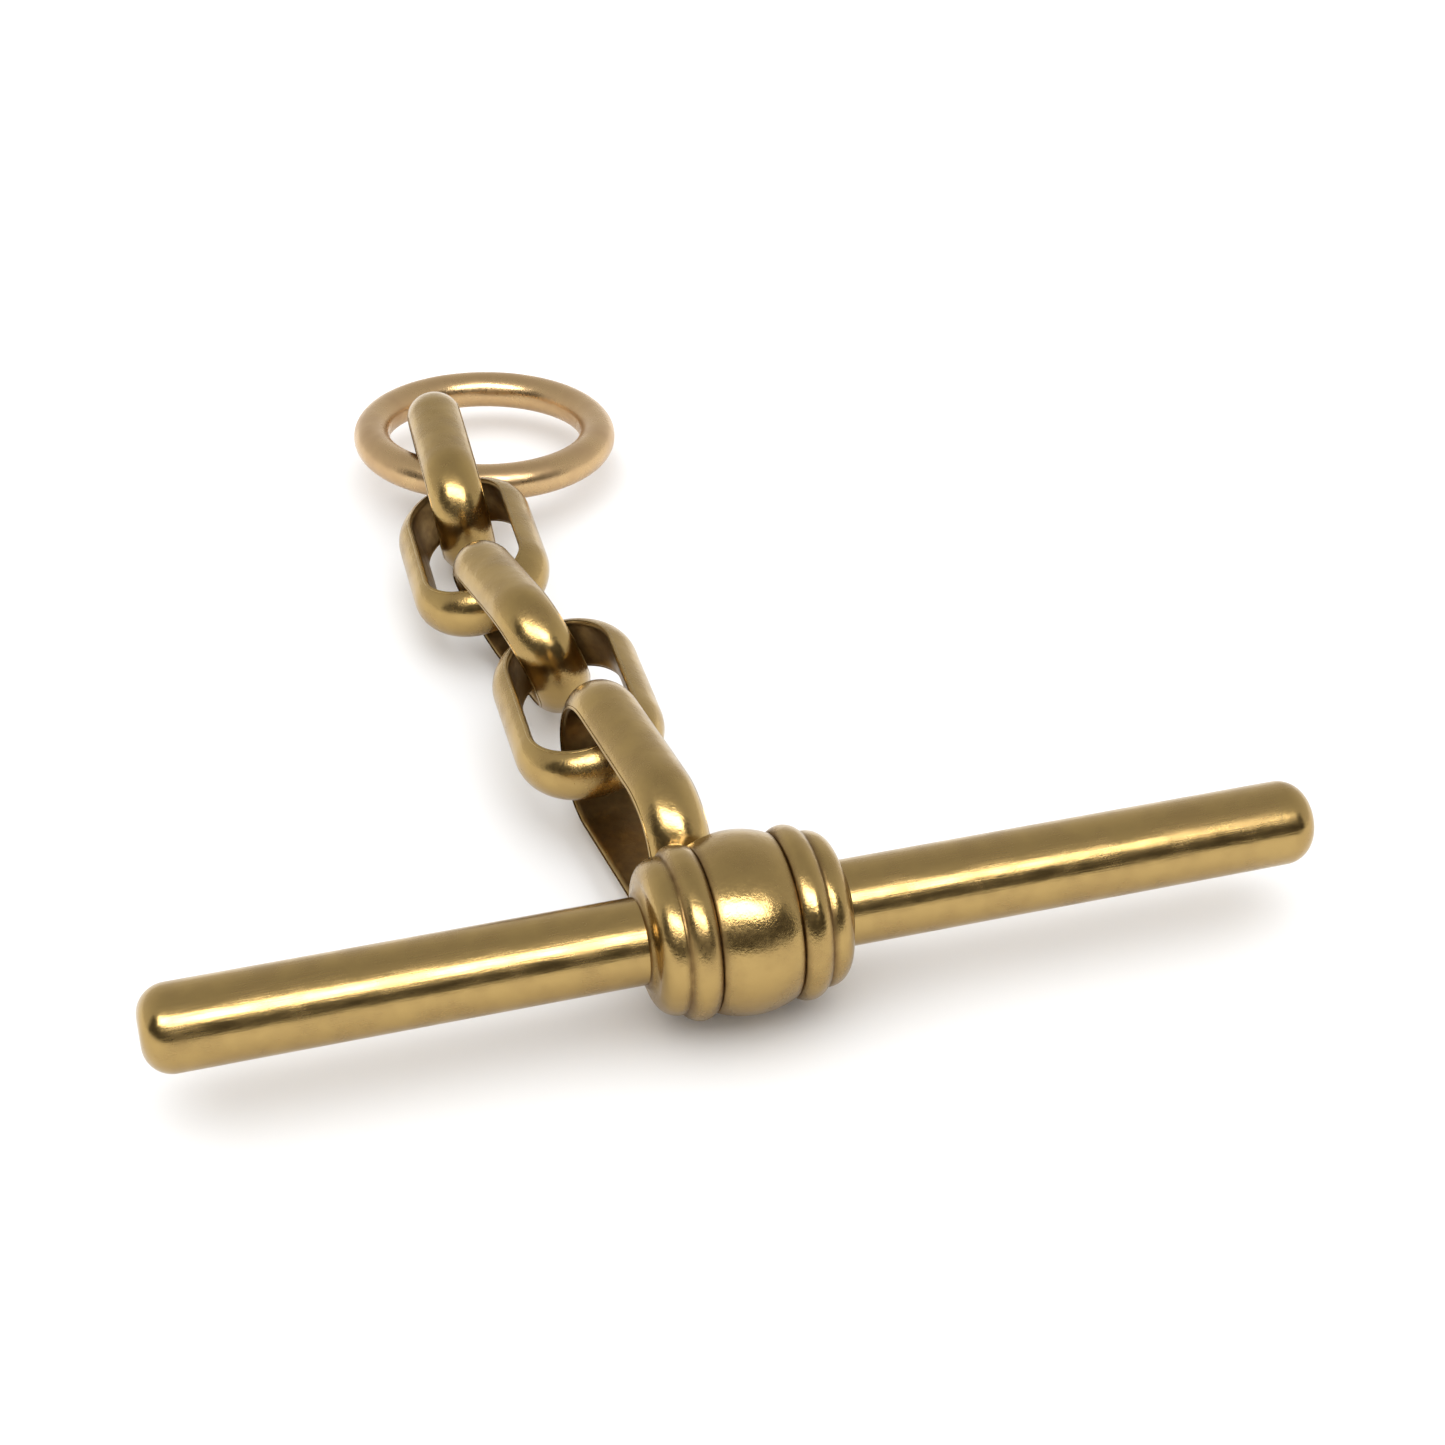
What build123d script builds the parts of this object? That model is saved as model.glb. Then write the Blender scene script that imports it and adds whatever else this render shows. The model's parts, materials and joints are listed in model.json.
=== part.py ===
"""Pocket watch chain: a T-bar with a reeded collar and loop, four D-section links and an end ring.

Millimetres. +X runs along the bar, +Y from the bar towards the end ring, +Z up.
The chain lies on a flat surface at Z = 0, with the origin below the middle of the bar.
"""
from build123d import *
from math import cos, radians, sin
import os

os.makedirs("parts", exist_ok=True)

# ---- T-bar: a drawn tube closed by a domed cap at each end
BAR_LENGTH = 34.4
BAR_DIAMETER = 2.5
BAR_WALL = 0.45
CAP_LENGTH = 1.15
CAP_EDGE_ROUNDING = 0.85
CAP_SPIGOT_LENGTH = 0.9

# ---- collar: a domed barrel between two narrower beads, all slipped over the tube
BARREL_LENGTH = 2.9
BARREL_DIAMETER = 5.3
GROOVE_DIAMETER = 4.3
BEAD_LENGTH = 1.6
BEAD_DIAMETER = 4.86
BEAD_CREST_FROM_BARREL = 0.45
BEAD_RIM_FROM_BARREL = 0.9
BEAD_RIM_DIAMETER = 4.5
BEAD_END_BULGE = 0.12
LIP_DIAMETER = 2.8

# ---- fixed loop: a D-section ring stood across the bar and saddled onto the collar
LOOP_HEIGHT = 5.35
LOOP_LENGTH = 9.3
LOOP_OFFSET_X = -1.34
LOOP_CENTRE_BEHIND_BAR = 6.6
LOOP_HEADING = 10

# ---- links and end ring
WIRE_WIDTH = 1.95
WIRE_THICKNESS = 0.76
WIRE_CORNER = 0.14
LINK_LENGTH = 8.2
LINK_WIDTH = 4.8
RING_DIAMETER = 9.78
RING_WIRE_DIAMETER = 1.34

# ---- clearances
SOLDER_GAP = 0.02

# ---- how the chain lies: the middle of each link, the way its length points
#      (degrees left of +Y), the rise of its far end and its roll from flat
LINK_LAY = {
    "link_1": {"middle": (-2.03, 12.1, 2.59), "heading": -2, "rise": 2, "roll": -14},
    "link_2": {"middle": (-2.6, 17.45, 2.53), "heading": 6, "rise": -7, "roll": 70},
    "link_3": {"middle": (-3.0, 22.95, 2.2), "heading": -3, "rise": 1.5, "roll": -18},
    "link_4": {"middle": (-2.7, 27.95, 2.46), "heading": -4, "rise": 2, "roll": 81},
}
RING_MIDDLE = (-0.45, 32.6, 1.62)
RING_NEAR_SIDE_LIFT = 2.9
RING_LEFT_SIDE_LIFT = 2.5

# ---- worked out from the sizes above
BAR_RADIUS = BAR_DIAMETER / 2
BAR_HEIGHT = BARREL_DIAMETER / 2
TUBE_BORE = BAR_RADIUS - BAR_WALL
COLLAR_BORE = BAR_RADIUS + SOLDER_GAP
TUBE_LENGTH = BAR_LENGTH - 2 * CAP_LENGTH


def turned_along_bar(profile):
    """Solid turned about the bar's axis from a half profile of (X, radius) drawn in the XZ plane."""
    turned = revolve(Plane.XZ * profile, axis=Axis.X)
    return Pos(0, 0, BAR_HEIGHT) * turned


def make_bar_tube():
    tube = Cylinder(BAR_RADIUS, TUBE_LENGTH) - Cylinder(TUBE_BORE, TUBE_LENGTH)
    return Pos(0, 0, BAR_HEIGHT) * Rot(0, 90, 0) * tube


def make_bar_cap(side):
    """Domed cap whose spigot plugs the tube; side is -1 for the left end and 1 for the right."""
    shoulder = TUBE_LENGTH / 2
    tip = BAR_LENGTH / 2
    rounding_start = tip - CAP_EDGE_ROUNDING
    flat_radius = BAR_RADIUS - CAP_EDGE_ROUNDING
    arc_share = sin(radians(45))
    with BuildSketch() as profile:
        with BuildLine():
            Line((shoulder, 0), (shoulder, BAR_RADIUS))
            Line((shoulder, BAR_RADIUS), (rounding_start, BAR_RADIUS))
            ThreePointArc(
                (rounding_start, BAR_RADIUS),
                (rounding_start + CAP_EDGE_ROUNDING * arc_share, flat_radius + CAP_EDGE_ROUNDING * arc_share),
                (tip, flat_radius),
            )
            Line((tip, flat_radius), (tip, 0))
            Line((tip, 0), (shoulder, 0))
        make_face()
    dome = turned_along_bar(profile.sketch)
    spigot = Cylinder(TUBE_BORE - SOLDER_GAP, CAP_SPIGOT_LENGTH)
    spigot = Pos(shoulder - CAP_SPIGOT_LENGTH / 2, 0, BAR_HEIGHT) * Rot(0, 90, 0) * spigot
    cap = dome + spigot
    return cap if side > 0 else mirror(cap, about=Plane.YZ)


def make_collar_barrel():
    """Middle of the collar: bored for the tube, its outside one swelling arc from groove to groove."""
    half = BARREL_LENGTH / 2
    groove = GROOVE_DIAMETER / 2
    with BuildSketch() as profile:
        with BuildLine():
            Line((-half, COLLAR_BORE), (-half, groove))
            ThreePointArc((-half, groove), (0, BARREL_DIAMETER / 2), (half, groove))
            Line((half, groove), (half, COLLAR_BORE))
            Line((half, COLLAR_BORE), (-half, COLLAR_BORE))
        make_face()
    return turned_along_bar(profile.sketch)


def make_collar_bead(side):
    """Bead beside the barrel: a rounded crest, then an end that falls away to a lip on the tube."""
    inner = BARREL_LENGTH / 2
    outer = inner + BEAD_LENGTH
    crest = inner + BEAD_CREST_FROM_BARREL
    rim = inner + BEAD_RIM_FROM_BARREL
    with BuildSketch() as profile:
        with BuildLine():
            Line((inner, COLLAR_BORE), (inner, GROOVE_DIAMETER / 2))
            ThreePointArc((inner, GROOVE_DIAMETER / 2), (crest, BEAD_DIAMETER / 2), (rim, BEAD_RIM_DIAMETER / 2))
            end_middle = ((rim + outer) / 2, (BEAD_RIM_DIAMETER + LIP_DIAMETER) / 4 + BEAD_END_BULGE)
            ThreePointArc((rim, BEAD_RIM_DIAMETER / 2), end_middle, (outer, LIP_DIAMETER / 2))
            Line((outer, LIP_DIAMETER / 2), (outer, COLLAR_BORE))
            Line((outer, COLLAR_BORE), (inner, COLLAR_BORE))
        make_face()
    bead = turned_along_bar(profile.sketch)
    return bead if side > 0 else mirror(bead, about=Plane.YZ)


def d_section_ring(length, width):
    """Straight-sided oval ring of half-round wire about Z, length along X: flat inside, round outside."""
    inner_radius = width / 2 - WIRE_THICKNESS
    straight = length - width
    half_band = WIRE_WIDTH / 2
    path = SlotCenterToCenter(straight, 2 * inner_radius).face().outer_wire()
    start = Plane(origin=path @ 0, x_dir=(0, 1, 0), z_dir=path % 0)
    if start.x_dir.dot(Vector(0, (path @ 0).Y, 0)) < 0:
        start = Plane(origin=path @ 0, x_dir=(0, -1, 0), z_dir=path % 0)
    with BuildSketch(start) as section:
        with BuildLine():
            Line((0, half_band), (0, -half_band))
            ThreePointArc((0, -half_band), (WIRE_THICKNESS, 0), (0, half_band))
        make_face()
        fillet(section.vertices(), WIRE_CORNER)
    return sweep(section.sketch, path=path)


def lay_plane(middle, heading, rise, roll):
    """Plane of a link as it lies: X along its length, Z through its hole."""
    turn = radians(heading)
    lift = radians(rise)
    along = Vector(-sin(turn) * cos(lift), cos(turn) * cos(lift), sin(lift))
    level = along.cross(Vector(0, 0, 1)).normalized()
    over = level.cross(along)
    through_hole = over * cos(radians(roll)) + level * sin(radians(roll))
    return Plane(origin=middle, x_dir=along, z_dir=through_hole)


def make_link(name):
    return lay_plane(**LINK_LAY[name]) * d_section_ring(LINK_LENGTH, LINK_WIDTH)


def make_collar_loop(collar):
    """Ring stood across the bar, cut to a saddle where it is soldered onto the collar."""
    middle = (LOOP_OFFSET_X, LOOP_CENTRE_BEHIND_BAR, LOOP_HEIGHT / 2)
    stood_up = lay_plane(middle, LOOP_HEADING, rise=0, roll=90)
    ring = stood_up * d_section_ring(LOOP_LENGTH, LOOP_HEIGHT)
    for piece in collar:
        ring -= piece
    ring -= Pos(0, 0, BAR_HEIGHT) * Rot(0, 90, 0) * Cylinder(COLLAR_BORE, BAR_LENGTH)
    return max(ring.solids(), key=lambda solid: solid.volume)


def make_end_ring():
    ring = Torus((RING_DIAMETER - RING_WIRE_DIAMETER) / 2, RING_WIRE_DIAMETER / 2)
    return Pos(*RING_MIDDLE) * Rot(-RING_NEAR_SIDE_LIFT, RING_LEFT_SIDE_LIFT, 0) * ring


pieces = {
    "bar_tube": make_bar_tube(),
    "bar_cap_left": make_bar_cap(-1),
    "bar_cap_right": make_bar_cap(1),
    "collar_barrel": make_collar_barrel(),
    "collar_bead_left": make_collar_bead(-1),
    "collar_bead_right": make_collar_bead(1),
}
collar = [pieces[name] for name in ("collar_barrel", "collar_bead_left", "collar_bead_right")]
pieces["collar_loop"] = make_collar_loop(collar)
for name in LINK_LAY:
    pieces[name] = make_link(name)
pieces["end_ring"] = make_end_ring()

for name, piece in pieces.items():
    export_step(piece, f"parts/{name}.step")
    print(name, round(piece.volume, 2), "mm3")
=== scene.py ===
import json
import math

import bmesh
import bpy
import numpy as np
from mathutils import Matrix, Vector


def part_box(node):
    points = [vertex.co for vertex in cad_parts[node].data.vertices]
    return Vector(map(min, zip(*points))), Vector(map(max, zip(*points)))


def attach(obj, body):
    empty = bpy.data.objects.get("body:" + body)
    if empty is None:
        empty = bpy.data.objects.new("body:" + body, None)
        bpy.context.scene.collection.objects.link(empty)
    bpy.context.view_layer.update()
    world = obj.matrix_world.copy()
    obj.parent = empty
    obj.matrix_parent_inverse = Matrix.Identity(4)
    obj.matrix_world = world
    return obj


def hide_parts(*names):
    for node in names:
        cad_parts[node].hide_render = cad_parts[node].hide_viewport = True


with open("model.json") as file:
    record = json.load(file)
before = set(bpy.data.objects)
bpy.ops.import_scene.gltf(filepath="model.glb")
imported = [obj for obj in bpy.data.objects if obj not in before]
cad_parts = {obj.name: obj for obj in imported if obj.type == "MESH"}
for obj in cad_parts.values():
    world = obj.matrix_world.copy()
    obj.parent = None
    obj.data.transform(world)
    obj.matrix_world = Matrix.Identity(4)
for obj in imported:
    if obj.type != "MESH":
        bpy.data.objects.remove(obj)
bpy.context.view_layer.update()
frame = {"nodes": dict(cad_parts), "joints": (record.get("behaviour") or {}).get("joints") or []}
MM = 0.001
UP = Vector((0, 0, 1))

LINKS = ("link_1", "link_2", "link_3", "link_4")

# Half-round wire of the links and of the collar's loop, millimetres
BAND_WIDTH = 1.95
BAND_THICKNESS = 0.76
BAND_CORNER = 0.14
LINK_LENGTH = 8.2
LINK_WIDTH = 4.8
LOOP_LENGTH = 9.3
LOOP_HEIGHT = 5.35
LOOP_HEADING = math.radians(5.5)
HAND_WOBBLE = 0.02
LINK_STEPS = 200
LOOP_STEPS = 220
LOOP_SEED = 9
RING_WIRE_RADIUS = 0.67

# Collar, millimetres: radii are from the bar's axis, and a bead's x starts at the barrel's edge
COLLAR_SHIFT = -0.33
COLLAR_BORE = 1.2
BARREL_HALF = 1.18
BARREL_EASE = 0.03
BARREL_RADIUS = 2.64
GROOVE_RADIUS = 2.37
GROOVE_CUT = 0.05
BEAD_ARC = ((0.04, 2.38), (0.42, 2.52), (0.84, 2.30))
BEAD_GROOVE = (0.88, 2.22)
END_BAND_ARC = ((0.93, 2.25), (1.38, 2.13), (1.62, 1.72))
LIP_ARC = ((1.62, 1.72), (1.66, 1.5), (1.76, 1.36))
BEAD_END = (1.80, 1.25)
CREVICE_REACH = 0.22

CAP_ROUNDING = 0.85


# ---------------------------------------------------------------- helpers

def add(tree, kind, inputs=None, **settings):
    """A node with its settings and its inputs, each a plain value or a socket to link from."""
    node = tree.nodes.new(kind)
    for key, value in settings.items():
        setattr(node, key, value)
    for key, value in (inputs or {}).items():
        socket = node.inputs[key]
        if isinstance(value, bpy.types.NodeSocket):
            tree.links.new(value, socket)
        else:
            socket.default_value = value
    return node


def add_math(tree, operation, *values, clamp=False):
    node = add(tree, "ShaderNodeMath", dict(enumerate(values)), operation=operation, use_clamp=clamp)
    return node.outputs[0]


def spread(tree, value, low, high, to_low=0.0, to_high=1.0):
    """A value carried from one range to another, held at the ends."""
    node = add(tree, "ShaderNodeMapRange",
               {"Value": value, "From Min": low, "From Max": high, "To Min": to_low, "To Max": to_high})
    return node.outputs["Result"]


def blend(tree, share, first, second):
    """Colour that goes from the first to the second as share goes from 0 to 1."""
    node = add(tree, "ShaderNodeMix", data_type="RGBA")
    for name, source in (("Factor_Float", share), ("A_Color", first), ("B_Color", second)):
        socket = next(each for each in node.inputs if each.identifier == name)
        tree.links.new(source, socket)
    return next(each for each in node.outputs if each.identifier == "Result_Color")


def linked(name, data):
    """Object of a mesh, lamp or camera, put in the scene."""
    thing = bpy.data.objects.new(name, data)
    bpy.context.scene.collection.objects.link(thing)
    return thing


def matrix_of(axes, origin):
    """Matrix whose columns are three axes and an origin."""
    matrix = Matrix.Identity(4)
    for column, axis in enumerate(axes):
        for row in range(3):
            matrix[row][column] = axis[row]
    matrix.translation = Vector(origin)
    return matrix


# ---------------------------------------------------------------- half-round ring tree

def store(tree, geometry, name, value):
    node = add(tree, "GeometryNodeStoreNamedAttribute", {"Geometry": geometry, "Name": name, "Value": value},
               data_type="FLOAT", domain="POINT")
    return node.outputs[0]


def oval_path(tree, given):
    """Inside line of the ring, with straight sides and round ends, and its place along as an attribute."""
    nearly_half = 0.49995
    bend_steps = 48
    inner_length = add_math(tree, "MULTIPLY_ADD", given["Band Thickness"], -2.0, given["Length"])
    inner_width = add_math(tree, "MULTIPLY_ADD", given["Band Thickness"], -2.0, given["Width"])
    box = add(tree, "GeometryNodeCurvePrimitiveQuadrilateral", {"Width": inner_length, "Height": inner_width})
    bend = add_math(tree, "MULTIPLY", inner_width, nearly_half)
    oval = add(tree, "GeometryNodeFilletCurve",
               {"Curve": box.outputs[0], "Count": bend_steps, "Radius": bend, "Limit Radius": True},
               mode="POLY")
    path = add(tree, "GeometryNodeResampleCurve", {"Curve": oval.outputs[0], "Count": given["Path Steps"]})
    path = add(tree, "GeometryNodeSetCurveNormal", {"Curve": path.outputs[0]}, mode="Z_UP")
    along = add(tree, "GeometryNodeSplineParameter")
    return store(tree, path.outputs[0], "along_wire", along.outputs["Factor"])


def half_round_section(tree, given):
    """D of the wire, flat inside, its two corners eased, marked with its flat face and its width."""
    arc_points = 64
    corner_steps = 8
    flat_depth = 0.12 * MM
    half = add_math(tree, "MULTIPLY", given["Band Width"], 0.5)
    low = add_math(tree, "MULTIPLY", given["Band Width"], -0.5)
    start = add(tree, "ShaderNodeCombineXYZ", {"Y": low})
    crest = add(tree, "ShaderNodeCombineXYZ", {"X": given["Band Thickness"]})
    end = add(tree, "ShaderNodeCombineXYZ", {"Y": half})
    arc = add(tree, "GeometryNodeCurveArc",
              {"Resolution": arc_points, "Start": start.outputs[0], "Middle": crest.outputs[0],
               "End": end.outputs[0]}, mode="POINTS")
    closed = add(tree, "GeometryNodeSetSplineCyclic", {"Geometry": arc.outputs[0], "Cyclic": True})
    index = add(tree, "GeometryNodeInputIndex")
    first = add_math(tree, "LESS_THAN", index.outputs[0], 0.5)
    last = add_math(tree, "GREATER_THAN", index.outputs[0], arc_points - 1.5)
    corner = add_math(tree, "MULTIPLY", add_math(tree, "ADD", first, last), given["Corner Radius"])
    eased = add(tree, "GeometryNodeFilletCurve",
                {"Curve": closed.outputs[0], "Count": corner_steps, "Radius": corner, "Limit Radius": False},
                mode="POLY")
    section = add(tree, "GeometryNodeResampleCurve",
                  {"Curve": eased.outputs[0], "Count": given["Section Steps"]})
    place = add(tree, "GeometryNodeInputPosition")
    split = add(tree, "ShaderNodeSeparateXYZ", {0: place.outputs[0]})
    flatness = spread(tree, split.outputs["X"], 0.0, flat_depth, 1.0, 0.0)
    marked = store(tree, section.outputs[0], "inside_face", flatness)
    across = add_math(tree, "DIVIDE", split.outputs["Y"], half)
    return store(tree, marked, "across_wire", across)


def hand_made(tree, given, ring):
    """The ring pushed a little out of true, as bending by hand leaves it."""
    seed_stride = 7.31
    bumps_per_metre = 420.0
    seed = add_math(tree, "MULTIPLY", given["Seed"], seed_stride)
    noise = add(tree, "ShaderNodeTexNoise", {"W": seed, "Scale": bumps_per_metre, "Detail": 1.0},
                noise_dimensions="4D")
    centred = add(tree, "ShaderNodeVectorMath", {0: noise.outputs["Color"], 1: (0.5, 0.5, 0.5)},
                  operation="SUBTRACT")
    push = add(tree, "ShaderNodeVectorMath", {0: centred.outputs[0], "Scale": given["Hand Wobble"]},
               operation="SCALE")
    return add(tree, "GeometryNodeSetPosition", {"Geometry": ring, "Offset": push.outputs[0]}).outputs[0]


def half_round_ring_tree():
    """Straight-sided oval ring of half-round wire, length along X, hole along Z, middle at the origin."""
    tree = bpy.data.node_groups.new("half_round_ring", "GeometryNodeTree")
    sizes = {
        "Length": LINK_LENGTH * MM, "Width": LINK_WIDTH * MM, "Band Width": BAND_WIDTH * MM,
        "Band Thickness": BAND_THICKNESS * MM, "Corner Radius": BAND_CORNER * MM,
        "Hand Wobble": HAND_WOBBLE * MM,
    }
    for name, value in sizes.items():
        socket = tree.interface.new_socket(name, in_out="INPUT", socket_type="NodeSocketFloat")
        socket.default_value = value
    for name, value in {"Path Steps": LINK_STEPS, "Section Steps": 84, "Seed": 1}.items():
        socket = tree.interface.new_socket(name, in_out="INPUT", socket_type="NodeSocketInt")
        socket.default_value = value
    tree.interface.new_socket("Material", in_out="INPUT", socket_type="NodeSocketMaterial")
    tree.interface.new_socket("Geometry", in_out="OUTPUT", socket_type="NodeSocketGeometry")
    given = tree.nodes.new("NodeGroupInput").outputs
    ring = add(tree, "GeometryNodeCurveToMesh",
               {"Curve": oval_path(tree, given), "Profile Curve": half_round_section(tree, given),
                "Fill Caps": False})
    worn = hand_made(tree, given, ring.outputs[0])
    smooth = add(tree, "GeometryNodeSetShadeSmooth", {"Geometry": worn, "Shade Smooth": True})
    real = add(tree, "GeometryNodeRealizeInstances", {"Geometry": smooth.outputs[0]})
    finish = add(tree, "GeometryNodeSetMaterial",
                 {"Geometry": real.outputs[0], "Material": given["Material"]})
    add(tree, "NodeGroupOutput", {"Geometry": finish.outputs[0]})
    return tree


def grow(name, tree, values):
    """Plain mesh object from a geometry tree, with the inputs named in values set."""
    holder = linked(name + "_holder", bpy.data.meshes.new(name + "_holder"))
    modifier = holder.modifiers.new("tree", "NODES")
    modifier.node_group = tree
    for item in tree.interface.items_tree:
        if item.item_type == "SOCKET" and item.in_out == "INPUT" and item.name in values:
            modifier[item.identifier] = values[item.name]
    graph = bpy.context.evaluated_depsgraph_get()
    mesh = bpy.data.meshes.new_from_object(holder.evaluated_get(graph))
    mesh.name = name
    holder.modifiers.remove(modifier)
    bpy.data.objects.remove(holder)
    return linked(name, mesh)


# ---------------------------------------------------------------- places from the frame

def corners(node):
    """All corners of a node's surface, one row each."""
    mesh = frame["nodes"][node].data
    flat = np.empty(len(mesh.vertices) * 3)
    mesh.vertices.foreach_get("co", flat)
    return flat.reshape(-1, 3)


def lie_of(node):
    """Matrix whose X runs along a ring's length and Z through its hole, found from the node's surface."""
    mesh = frame["nodes"][node].data
    mesh.calc_loop_triangles()
    points = corners(node)
    trio = points[np.array([triangle.vertices[:] for triangle in mesh.loop_triangles])]
    area = np.linalg.norm(np.cross(trio[:, 1] - trio[:, 0], trio[:, 2] - trio[:, 0]), axis=1)
    middle = trio.mean(axis=1)
    centre = (middle * area[:, None]).sum(0) / area.sum()
    off = middle - centre
    axes = np.linalg.eigh(np.einsum("n,ni,nj->ij", area, off, off))[1]
    length, width, hole = axes[:, 2], axes[:, 1], axes[:, 0]
    if length[1] < 0:
        length = -length
    if np.dot(np.cross(length, width), hole) < 0:
        hole = -hole
    basis = np.array([length, width, hole])
    local = (points - centre) @ basis.T
    centre = centre + basis.T @ ((local.min(0) + local.max(0)) / 2)
    return matrix_of(basis, centre)


tube_low, tube_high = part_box("bar_tube")
barrel_low, barrel_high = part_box("collar_barrel")
BAR_HEIGHT = (barrel_low[2] + barrel_high[2]) / 2
BAR_RADIUS = (tube_high[2] - tube_low[2]) / 2
TUBE_END = tube_high[0]
BAR_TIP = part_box("bar_cap_right")[1][0]


# ---------------------------------------------------------------- turned profiles

def turned(name, profile, shift=0.0, steps=192):
    """Surface turned about the bar's axis from (x, radius) points in millimetres, moved along by shift."""
    same_place = 1e-8
    no_length = 1e-9
    count = len(profile)
    vertices = []
    faces = []
    for step in range(steps):
        angle = 2 * math.pi * step / steps
        here = step * count
        there = ((step + 1) % steps) * count
        for x, radius in profile:
            reach = radius * MM
            vertices.append(((x + shift) * MM, reach * math.sin(angle), BAR_HEIGHT + reach * math.cos(angle)))
        for k in range(count - 1):
            faces.append((here + k, here + k + 1, there + k + 1, there + k))
    mesh = bpy.data.meshes.new(name)
    mesh.from_pydata(vertices, [], faces)
    work = bmesh.new()
    work.from_mesh(mesh)
    bmesh.ops.remove_doubles(work, verts=work.verts, dist=same_place)
    bmesh.ops.dissolve_degenerate(work, dist=no_length, edges=work.edges)
    bmesh.ops.recalc_face_normals(work, faces=work.faces)
    for face in work.faces:
        face.smooth = True
    work.to_mesh(mesh)
    work.free()
    return linked(name, mesh)


def arc_through(start, middle, end, steps):
    """Points of the circle through three points, from the first to the last."""
    (ax, ay), (bx, by), (cx, cy) = start, middle, end
    a, b, c = ax**2 + ay**2, bx**2 + by**2, cx**2 + cy**2
    double_area = 2 * (ax * (by - cy) + bx * (cy - ay) + cx * (ay - by))
    ux = (a * (by - cy) + b * (cy - ay) + c * (ay - by)) / double_area
    uy = (a * (cx - bx) + b * (ax - cx) + c * (bx - ax)) / double_area
    radius = math.hypot(ax - ux, ay - uy)
    full = 2 * math.pi
    first, second, third = (math.atan2(y - uy, x - ux) for x, y in (start, middle, end))
    turn = (third - first) % full
    if (second - first) % full > turn:
        turn -= full
    angles = [first + turn * k / steps for k in range(steps + 1)]
    return [(ux + radius * math.cos(angle), uy + radius * math.sin(angle)) for angle in angles]


def mirrored(profile):
    return [(-x, radius) for x, radius in reversed(profile)]


def barrel_profile():
    """One swell from groove to groove."""
    groove_bottom = GROOVE_RADIUS - GROOVE_CUT
    edge = BARREL_HALF - BARREL_EASE
    swell = arc_through((-edge, GROOVE_RADIUS), (0, BARREL_RADIUS), (edge, GROOVE_RADIUS), 48)
    left = [(-BARREL_HALF, COLLAR_BORE), (-BARREL_HALF, groove_bottom)]
    right = [(BARREL_HALF, groove_bottom), (BARREL_HALF, COLLAR_BORE)]
    return left + swell + right


def bead_profile():
    """Right bead: a round crest, a fine groove, a narrow end band and a lip down to the bar."""
    points = [(0, COLLAR_BORE), (0, GROOVE_RADIUS - GROOVE_CUT)]
    points += arc_through(*BEAD_ARC, 24)
    points.append(BEAD_GROOVE)
    points += arc_through(*END_BAND_ARC, 24)
    points += arc_through(*LIP_ARC, 8)[1:]
    points += [BEAD_END, (BEAD_END[0], COLLAR_BORE)]
    return [(BARREL_HALF + x, radius) for x, radius in points]


def cap_profile():
    """Right end of the bar: a short straight, a quarter round and a flat end closed at the middle."""
    arc_steps = 24
    tip = BAR_TIP / MM
    radius = BAR_RADIUS / MM
    flat = radius - CAP_ROUNDING
    start = tip - CAP_ROUNDING
    points = [(TUBE_END / MM, radius), (start, radius)]
    for k in range(1, arc_steps + 1):
        angle = math.pi / 2 * k / arc_steps
        points.append((start + CAP_ROUNDING * math.sin(angle), flat + CAP_ROUNDING * math.cos(angle)))
    return points + [(tip, flat * share) for share in (0.66, 0.33, 0.0)]


# ---------------------------------------------------------------- gold

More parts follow.
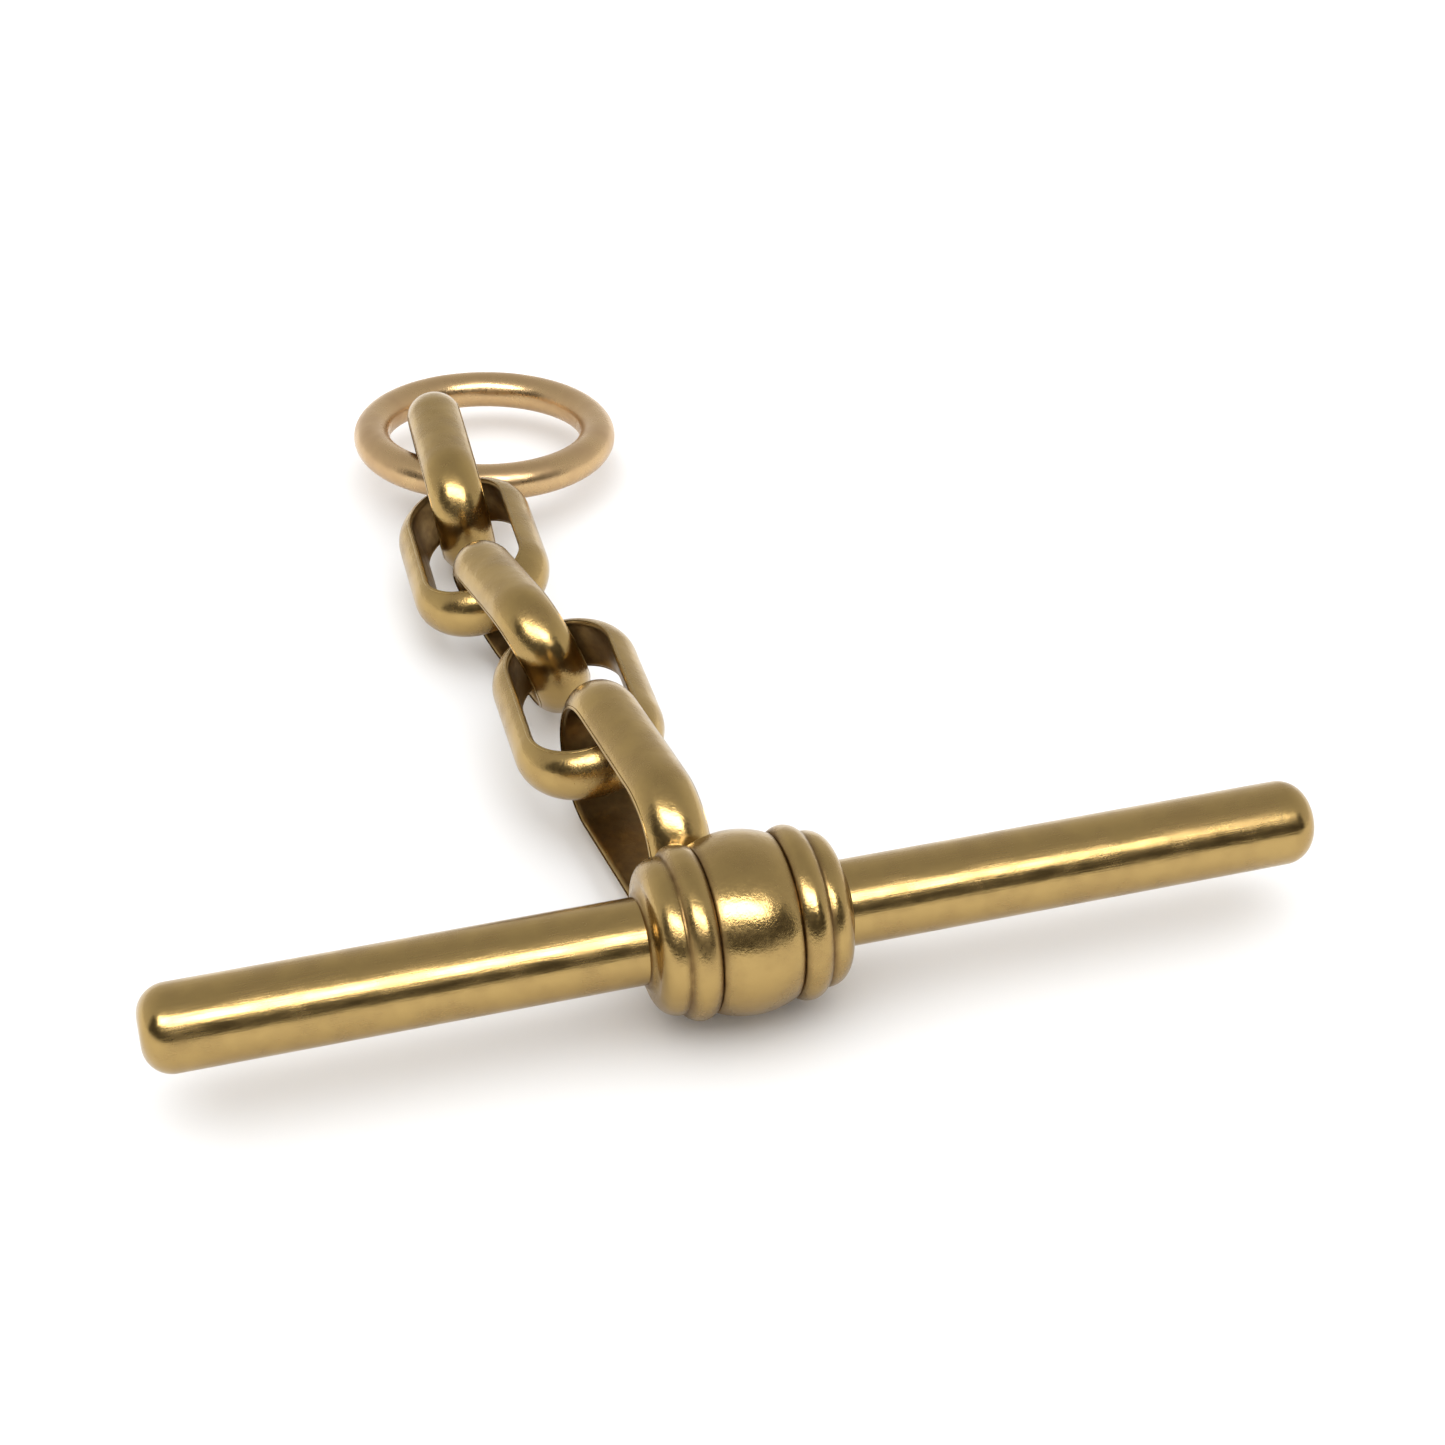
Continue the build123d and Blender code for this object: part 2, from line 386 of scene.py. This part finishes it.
def worn_and_shaded_metal_group():
    """Colour, roughness and height of worn polished gold, from the surface's own place, with painted shade
    and tarnish in its crevices.
    """
    patch_scale = 900.0
    shade_and_grime_scale = 2600.0
    grain_scale = 16000.0
    dent_scale = 1400.0
    patch_dulling = 0.10
    crevice_dulling = 0.22
    scratch_dulling = 0.06
    group = bpy.data.node_groups.new("worn_and_shaded_gold_surface", "ShaderNodeTree")
    for name, kind, value in (
        ("Place", "NodeSocketVector", None),
        ("Bright Gold", "NodeSocketColor", (*BRIGHT, 1)),
        ("Dull Gold", "NodeSocketColor", (*DULL, 1)),
        ("Shade And Tarnish", "NodeSocketColor", (*SHADE_AND_TARNISH, 1)),
        ("Crevice", "NodeSocketFloat", 0.0),
        ("Polish", "NodeSocketFloat", POLISH),
        ("Scratch Stretch", "NodeSocketVector", None),
        ("Scratch Depth", "NodeSocketFloat", 1.0),
    ):
        socket = group.interface.new_socket(name, in_out="INPUT", socket_type=kind)
        if value is not None:
            socket.default_value = value
    for name, kind in (("Color", "NodeSocketColor"), ("Roughness", "NodeSocketFloat"),
                       ("Height", "NodeSocketFloat")):
        group.interface.new_socket(name, in_out="OUTPUT", socket_type=kind)
    given = group.nodes.new("NodeGroupInput").outputs
    place = given["Place"]

    def noise(vector, scale, detail, roughness=0.5):
        node = add(group, "ShaderNodeTexNoise",
                   {"Vector": vector, "Scale": scale, "Detail": detail, "Roughness": roughness})
        return node.outputs["Fac"]

    patch = spread(group, noise(place, patch_scale, 4.0), 0.38, 0.68)
    metal = blend(group, patch, given["Bright Gold"], given["Dull Gold"])
    # Painted shade with grime: the crevice mask, broken up by noise, darkens the colour towards the shade and
    # tarnish colour.
    shade_and_grime = spread(group, noise(place, shade_and_grime_scale, 3.0), 0.25, 0.75, 0.55, 1.0)
    depth = add_math(group, "MULTIPLY", given["Crevice"], shade_and_grime, clamp=True)
    color = blend(group, depth, metal, given["Shade And Tarnish"])
    stretched = add(group, "ShaderNodeVectorMath", {0: place, 1: given["Scratch Stretch"]},
                    operation="MULTIPLY")
    scratches = noise(stretched.outputs[0], 1.0, 5.0, 0.6)
    cut = add_math(group, "MULTIPLY", scratches, given["Scratch Depth"])
    fine = add_math(group, "MULTIPLY_ADD", noise(place, grain_scale, 2.0), 0.25, cut)
    height = add_math(group, "MULTIPLY_ADD", noise(place, dent_scale, 1.0), 1.6, fine)
    roughness = add_math(group, "MULTIPLY_ADD", patch, patch_dulling, given["Polish"])
    roughness = add_math(group, "MULTIPLY_ADD", depth, crevice_dulling, roughness)
    rubbed = spread(group, scratches, 0.35, 0.7)
    roughness = add_math(group, "MULTIPLY_ADD", rubbed, scratch_dulling, roughness)
    add(group, "NodeGroupOutput", {"Color": color, "Roughness": roughness, "Height": height})
    return group


def gold(name, bright, dull, polish, stretch, scratch, bump, crevice=None, crevice_gain=1.0):
    """Gold with scratches and dents bump millimetres deep; crevice names the attribute along which painted
    shade and tarnish darken it.
    """
    material = bpy.data.materials.new(name)
    material.use_nodes = True
    tree = material.node_tree
    tree.nodes.clear()
    place = add(tree, "ShaderNodeTexCoord")
    surface = add(tree, "ShaderNodeGroup", node_tree=WORN_AND_SHADED_GOLD)
    tree.links.new(place.outputs["Object"], surface.inputs["Place"])
    for key, value in (("Bright Gold", (*bright, 1)), ("Dull Gold", (*dull, 1)), ("Polish", polish),
                       ("Scratch Stretch", stretch), ("Scratch Depth", scratch)):
        surface.inputs[key].default_value = value
    if crevice:
        mask = add(tree, "ShaderNodeAttribute", attribute_name=crevice)
        depth = add_math(tree, "MULTIPLY", mask.outputs["Fac"], crevice_gain)
        tree.links.new(depth, surface.inputs["Crevice"])
    lift = add(tree, "ShaderNodeBump",
               {"Strength": 1.0, "Distance": bump * MM, "Height": surface.outputs["Height"]})
    shader = add(tree, "ShaderNodeBsdfPrincipled",
                 {"Metallic": 1.0, "Base Color": surface.outputs["Color"],
                  "Roughness": surface.outputs["Roughness"], "Normal": lift.outputs["Normal"]})
    add(tree, "ShaderNodeOutputMaterial", {"Surface": shader.outputs[0]})
    return material


BRIGHT = (0.43, 0.292, 0.108)
DULL = (0.36, 0.24, 0.092)
RING_BRIGHT = (0.56, 0.38, 0.19)
RING_DULL = (0.50, 0.33, 0.17)
# Colour of the painted shade and tarnish in the collar's grooves and on the links' flat inside faces.
SHADE_AND_TARNISH = (0.10, 0.05, 0.02)
POLISH = 0.17
WORN_AND_SHADED_GOLD = worn_and_shaded_metal_group()

# Scratches run along the bar, and are even on the small rounded pieces
BAR_GOLD = gold("bar_gold", BRIGHT, DULL, POLISH, stretch=(900, 14000, 14000), scratch=1.0, bump=0.004)
# Painted shade and tarnish darken the collar's grooves.
COLLAR_GOLD = gold("collar_gold", BRIGHT, DULL, POLISH, stretch=(9000, 9000, 9000), scratch=0.5,
                   bump=0.012, crevice="crevice", crevice_gain=0.9)
# Painted shade and tarnish darken the flat inside face of each link.
LINK_GOLD = gold("link_gold", BRIGHT, DULL, POLISH, stretch=(7000, 7000, 7000), scratch=0.5,
                 bump=0.012, crevice="inside_face", crevice_gain=0.75)
RING_GOLD = gold("ring_gold_worn", RING_BRIGHT, RING_DULL, 0.24, stretch=(6000, 6000, 6000),
                 scratch=0.6, bump=0.008)


def dress(piece, material):
    piece.data.materials.clear()
    piece.data.materials.append(material)


# ---------------------------------------------------------------- links and loop

RING_TREE = half_round_ring_tree()


def band_ring(name, length, width, steps, seed, lie):
    """Ring of half-round wire laid by a matrix; sizes in millimetres."""
    piece = grow(name, RING_TREE, {
        "Length": length * MM, "Width": width * MM, "Band Width": BAND_WIDTH * MM,
        "Band Thickness": BAND_THICKNESS * MM, "Corner Radius": BAND_CORNER * MM,
        "Hand Wobble": HAND_WOBBLE * MM, "Path Steps": steps, "Section Steps": 84, "Seed": seed,
        "Material": LINK_GOLD,
    })
    piece.data.transform(lie)
    dress(piece, LINK_GOLD)
    return piece


for number, node in enumerate(LINKS):
    piece = band_ring(node + "_band", LINK_LENGTH, LINK_WIDTH, LINK_STEPS, number + 1, lie_of(node))
    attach(piece, node)
    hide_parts(node)


def loop_lie():
    """The loop stands upright behind the collar, its far end where the first link's hinge passes."""
    hinge = next(joint for joint in frame["joints"] if joint["child"] == "link_1")
    away = Vector((-math.sin(LOOP_HEADING), math.cos(LOOP_HEADING), 0))
    middle = Vector(hinge["pos_m"]) - away * (LOOP_LENGTH - BAND_THICKNESS) / 2 * MM
    return matrix_of((away, UP, away.cross(UP)), middle)


loop = band_ring("collar_loop_band", LOOP_LENGTH, LOOP_HEIGHT, LOOP_STEPS, LOOP_SEED, loop_lie())
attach(loop, "t_bar")
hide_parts("collar_loop")


# ---------------------------------------------------------------- collar

def mark_crevice(piece, grooves, reach):
    """Attribute that is 1 in the grooves, given by their x in millimetres, and fades out over reach; it
    places the painted shade and tarnish.
    """
    mesh = piece.data
    mask = mesh.attributes.new("crevice", "FLOAT", "POINT")
    for vertex in mesh.vertices:
        x = vertex.co.x / MM
        near = min(abs(x - groove_x) for groove_x in grooves)
        mask.data[vertex.index].value = max(0.0, 1.0 - near / reach) ** 1.5


barrel = turned("collar_barrel_body", barrel_profile(), COLLAR_SHIFT)
bead_right = turned("collar_bead_right_body", bead_profile(), COLLAR_SHIFT)
bead_left = turned("collar_bead_left_body", mirrored(bead_profile()), COLLAR_SHIFT)
groove_places = []
for from_barrel in (0, BEAD_GROOVE[0], BEAD_END[0]):
    for side in (-1, 1):
        groove_places.append(COLLAR_SHIFT + side * (BARREL_HALF + from_barrel))
for piece, node in ((barrel, "collar_barrel"), (bead_left, "collar_bead_left"),
                    (bead_right, "collar_bead_right")):
    mark_crevice(piece, groove_places, CREVICE_REACH)
    dress(piece, COLLAR_GOLD)
    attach(piece, "t_bar")
    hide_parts(node)


# ---------------------------------------------------------------- bar

tube_profile = [(x, BAR_RADIUS / MM) for x in np.linspace(-TUBE_END / MM, TUBE_END / MM, 65)]
tube = turned("bar_tube_body", tube_profile)
dress(tube, BAR_GOLD)
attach(tube, "t_bar")
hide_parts("bar_tube")
for node, profile in (("bar_cap_right", cap_profile()), ("bar_cap_left", mirrored(cap_profile()))):
    cap = turned(node + "_dome", profile)
    dress(cap, BAR_GOLD)
    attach(cap, "t_bar")
    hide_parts(node)


# ---------------------------------------------------------------- end ring

def wire_ring(name, node, wire_radius, steps=160, section=48):
    """Ring of round wire as wide as a node and lying as it lies."""
    lie = lie_of(node)
    inverse = lie.inverted()
    local = np.array([(inverse @ Vector(point))[:] for point in corners(node)])
    path = np.abs(local[:, :2]).max() - wire_radius
    vertices = []
    faces = []
    for step in range(steps):
        turn = 2 * math.pi * step / steps
        here = step * section
        there = ((step + 1) % steps) * section
        for k in range(section):
            angle = 2 * math.pi * k / section
            reach = path + wire_radius * math.cos(angle)
            vertices.append((reach * math.cos(turn), reach * math.sin(turn), wire_radius * math.sin(angle)))
            after = (k + 1) % section
            faces.append((here + k, there + k, there + after, here + after))
    mesh = bpy.data.meshes.new(name)
    mesh.from_pydata(vertices, [], faces)
    mesh.transform(lie)
    mesh.validate()
    for polygon in mesh.polygons:
        polygon.use_smooth = True
    return linked(name, mesh)


end_ring = wire_ring("end_ring_wire", "end_ring", RING_WIRE_RADIUS * MM)
dress(end_ring, RING_GOLD)
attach(end_ring, "end_ring")
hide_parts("end_ring")


# ---------------------------------------------------------------- studio, millimetres

FLOOR_REACH = 3000
TOWARDS_CAMERA = Vector((-0.287, -0.958, 0))
ACROSS_VIEW = Vector((0.958, -0.287, 0))
LAMP_AIM = Vector((0, 12, 2))
WALL_AZIMUTHS = range(-75, 76, 15)
HORIZON_LEVEL = 0.95
ZENITH_LEVEL = 0.55


def plain(name, color):
    """Matt paint with no shine."""
    material = bpy.data.materials.new(name)
    material.use_nodes = True
    shader = material.node_tree.nodes["Principled BSDF"]
    shader.inputs["Base Color"].default_value = (*color, 1)
    shader.inputs["Roughness"].default_value = 0.9
    shader.inputs["Specular IOR Level"].default_value = 0.0
    return material


def sheet_of(name, points, material):
    """One flat or bent face of the studio, through its corners in order."""
    mesh = bpy.data.meshes.new(name)
    mesh.from_pydata([tuple(Vector(point) * MM) for point in points], [], [tuple(range(len(points)))])
    mesh.materials.append(material)
    card = linked(name, mesh)
    return card


def studio_point(azimuth, elevation, distance):
    """Point seen from the bar at an azimuth off the camera's side and an elevation, in degrees."""
    turn = math.radians(azimuth)
    rise = math.radians(elevation)
    level = TOWARDS_CAMERA * math.cos(turn) + ACROSS_VIEW * math.sin(turn)
    return (level * math.cos(rise) + UP * math.sin(rise)) * distance


def area_lamp(name, position, size, power):
    data = bpy.data.lights.new(name, "AREA")
    data.shape = "RECTANGLE"
    data.size, data.size_y = (side * MM for side in size)
    data.energy = power
    lamp = linked(name, data)
    lamp.location = position * MM
    lamp.rotation_euler = (LAMP_AIM - position).to_track_quat("-Z", "Y").to_euler()
    return lamp


sheet_of("floor", [(-FLOOR_REACH, -FLOOR_REACH, 0), (FLOOR_REACH, -FLOOR_REACH, 0),
                   (FLOOR_REACH, FLOOR_REACH, 0), (-FLOOR_REACH, FLOOR_REACH, 0)],
         plain("floor_paper", (0.93, 0.93, 0.93)))

# Soft box over the camera: seen only in the gold, as the bright streak.
soft_box = area_lamp("soft_box", studio_point(0, 54, 420), (520, 135), 2.5)
soft_box.visible_diffuse = False
# Big overhead lamp, a little behind: lights the floor and throws the soft shadow forwards.
overhead = area_lamp("overhead", Vector((20, 110, 420)), (1100, 1100), 4.6)
overhead.visible_glossy = False

# Dark side of the room, below the soft box: seen only in the gold.
lower_edge = [studio_point(azimuth, 2, 500) for azimuth in WALL_AZIMUTHS]
upper_edge = [studio_point(azimuth, 39, 560) for azimuth in reversed(WALL_AZIMUTHS)]
dark_wall = sheet_of("dark_wall", lower_edge + upper_edge, plain("dark_room", (0.05, 0.045, 0.04)))
dark_wall.visible_camera = False
dark_wall.visible_diffuse = False
dark_wall.visible_shadow = False

# White room, brightest at the horizon.
world = bpy.data.worlds.new("studio")
bpy.context.scene.world = world
world.use_nodes = True
sky = world.node_tree
sky.nodes.clear()
direction = add(sky, "ShaderNodeTexCoord")
parts = add(sky, "ShaderNodeSeparateXYZ", {0: direction.outputs["Generated"]})
level = spread(sky, parts.outputs["Z"], 0.0, 0.95, HORIZON_LEVEL, ZENITH_LEVEL)
glow = add(sky, "ShaderNodeBackground", {"Color": (1, 1, 1, 1), "Strength": level})
add(sky, "ShaderNodeOutputWorld", {"Surface": glow.outputs[0]})


# ---------------------------------------------------------------- camera

CAMERA_PLACE = Vector((-18.77, -59.75, 51.29))
CAMERA_LOOK = Vector((0.2385, 0.7960, -0.5563)).normalized()
CAMERA_LENS = 69.757785
camera_right = CAMERA_LOOK.cross(UP).normalized()
camera_data = bpy.data.cameras.new("camera")
camera_data.sensor_width = 36
camera_data.lens = CAMERA_LENS
camera_data.clip_start = 0.002
camera_data.clip_end = 20
camera = linked("camera", camera_data)
camera_up = camera_right.cross(CAMERA_LOOK)
camera.matrix_world = matrix_of((camera_right, camera_up, -CAMERA_LOOK), CAMERA_PLACE * MM)
bpy.context.scene.camera = camera
bpy.context.scene.view_settings.view_transform = "Standard"
